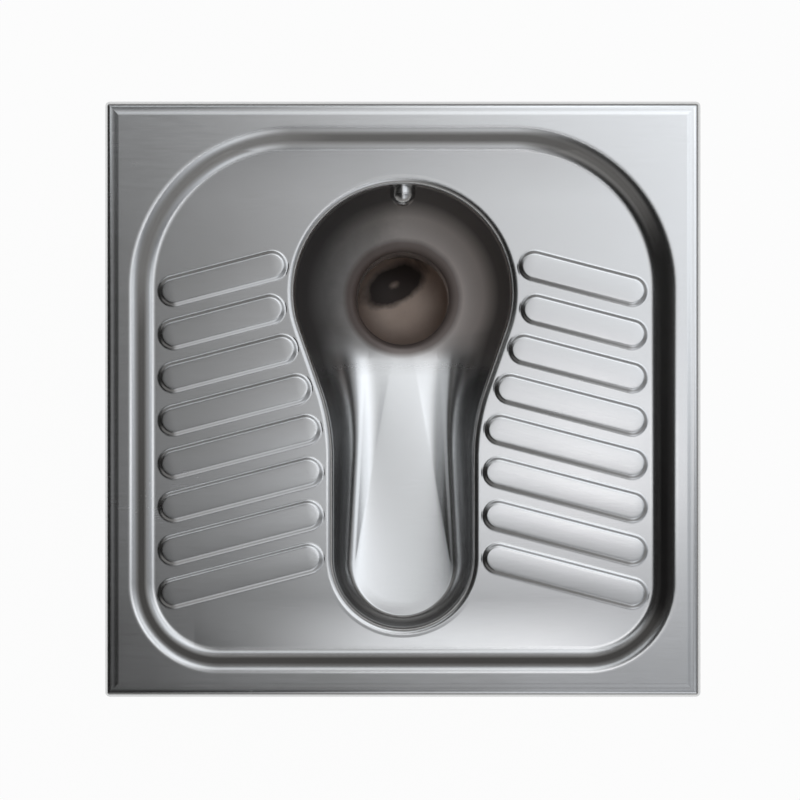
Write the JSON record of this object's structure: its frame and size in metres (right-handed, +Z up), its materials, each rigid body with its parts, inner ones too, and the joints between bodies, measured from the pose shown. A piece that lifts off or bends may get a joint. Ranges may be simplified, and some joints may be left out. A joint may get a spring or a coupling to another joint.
{
  "type": "squat toilet",
  "caption": "Square steel squat toilet pan with keyhole bowl, raised foot treads, rear flush spreader, swivelling trap and a frame on levelling feet.",
  "frame": {"origin": "centre of the square footprint at floor level, under the levelling feet's soles", "axes": "+Z up, +Y towards the rear, where the flush water comes in, +X to the right of someone facing the rear"},
  "size_m": [0.6, 0.6, 0.385],
  "materials": {
    "satin_steel": "satin, finely brushed stainless steel",
    "polished_steel": "brighter machined or drawn stainless steel",
    "mill_steel": "mill-finish stainless steel, dull",
    "zinc_steel": "zinc-plated steel",
    "black_rubber": "matt moulded rubber",
    "bitumen": "matt anti-drumming felt"
  },
  "bodies": {
    "pan": {"deck": "satin_steel", "bowl": "satin_steel", "outlet_spigot": "polished_steel", "flush_pipe": "polished_steel", "flush_spreader": "polished_steel", "flush_pipe_bracket": "mill_steel", "inlet_cuff": "black_rubber", "cuff_clamp": "polished_steel", "cuff_clamp_screw": "zinc_steel", "left_stiffener": "mill_steel", "right_stiffener": "mill_steel", "sound_pads": "bitumen", "anchor_ties": "zinc_steel", "front_left_post": "mill_steel", "front_right_post": "mill_steel", "rear_left_post": "mill_steel", "rear_right_post": "mill_steel", "front_rail": "mill_steel", "rear_rail": "mill_steel", "left_rail": "mill_steel", "right_rail": "mill_steel", "lock_nuts": "zinc_steel", "earth_stud": "polished_steel", "earth_washers": "polished_steel", "earth_nuts": "zinc_steel"},
    "trap": {"trap_bend": "satin_steel", "trap_seal": "black_rubber", "trap_clamp": "polished_steel", "trap_clamp_bolt": "zinc_steel", "cleanout_gasket": "black_rubber"},
    "outlet": {"outlet_elbow": "satin_steel", "elbow_seal": "black_rubber", "elbow_clamp": "polished_steel", "elbow_clamp_bolt": "zinc_steel"},
    "cap": {"cleanout_cap": "polished_steel"},
    "front_left_foot": {"front_left_stem": "zinc_steel", "front_left_plate": "polished_steel", "front_left_sole": "black_rubber"},
    "front_right_foot": {"front_right_stem": "zinc_steel", "front_right_plate": "polished_steel", "front_right_sole": "black_rubber"},
    "rear_left_foot": {"rear_left_stem": "zinc_steel", "rear_left_plate": "polished_steel", "rear_left_sole": "black_rubber"},
    "rear_right_foot": {"rear_right_stem": "zinc_steel", "rear_right_plate": "polished_steel", "rear_right_sole": "black_rubber"}
  },
  "joints": [
    {"name": "trap_swivel", "type": "hinge", "parent": "pan", "child": "trap", "pos_m": [0, 0.108, 0.23], "axis": [0, 0, 1], "range_deg": [-140, 40]},
    {"name": "outlet_swivel", "type": "hinge", "parent": "trap", "child": "outlet", "pos_m": [-0.09499, 0.18771, 0.155], "axis": [0, 0, 1], "range_deg": [-130, 50]},
    {"name": "cap_turn", "type": "hinge", "parent": "trap", "child": "cap", "pos_m": [0.05745, 0.05979, 0.17925], "axis": [0.766, -0.6428, 0], "continuous": true},
    {"name": "front_left_level", "type": "slide", "parent": "pan", "child": "front_left_foot", "axis": [0, 0, 1], "range_m": [-0.025, 0.015]},
    {"name": "front_right_level", "type": "slide", "parent": "pan", "child": "front_right_foot", "axis": [0, 0, 1], "range_m": [-0.025, 0.015]},
    {"name": "rear_left_level", "type": "slide", "parent": "pan", "child": "rear_left_foot", "axis": [0, 0, 1], "range_m": [-0.025, 0.015]},
    {"name": "rear_right_level", "type": "slide", "parent": "pan", "child": "rear_right_foot", "axis": [0, 0, 1], "range_m": [-0.025, 0.015]}
  ]
}
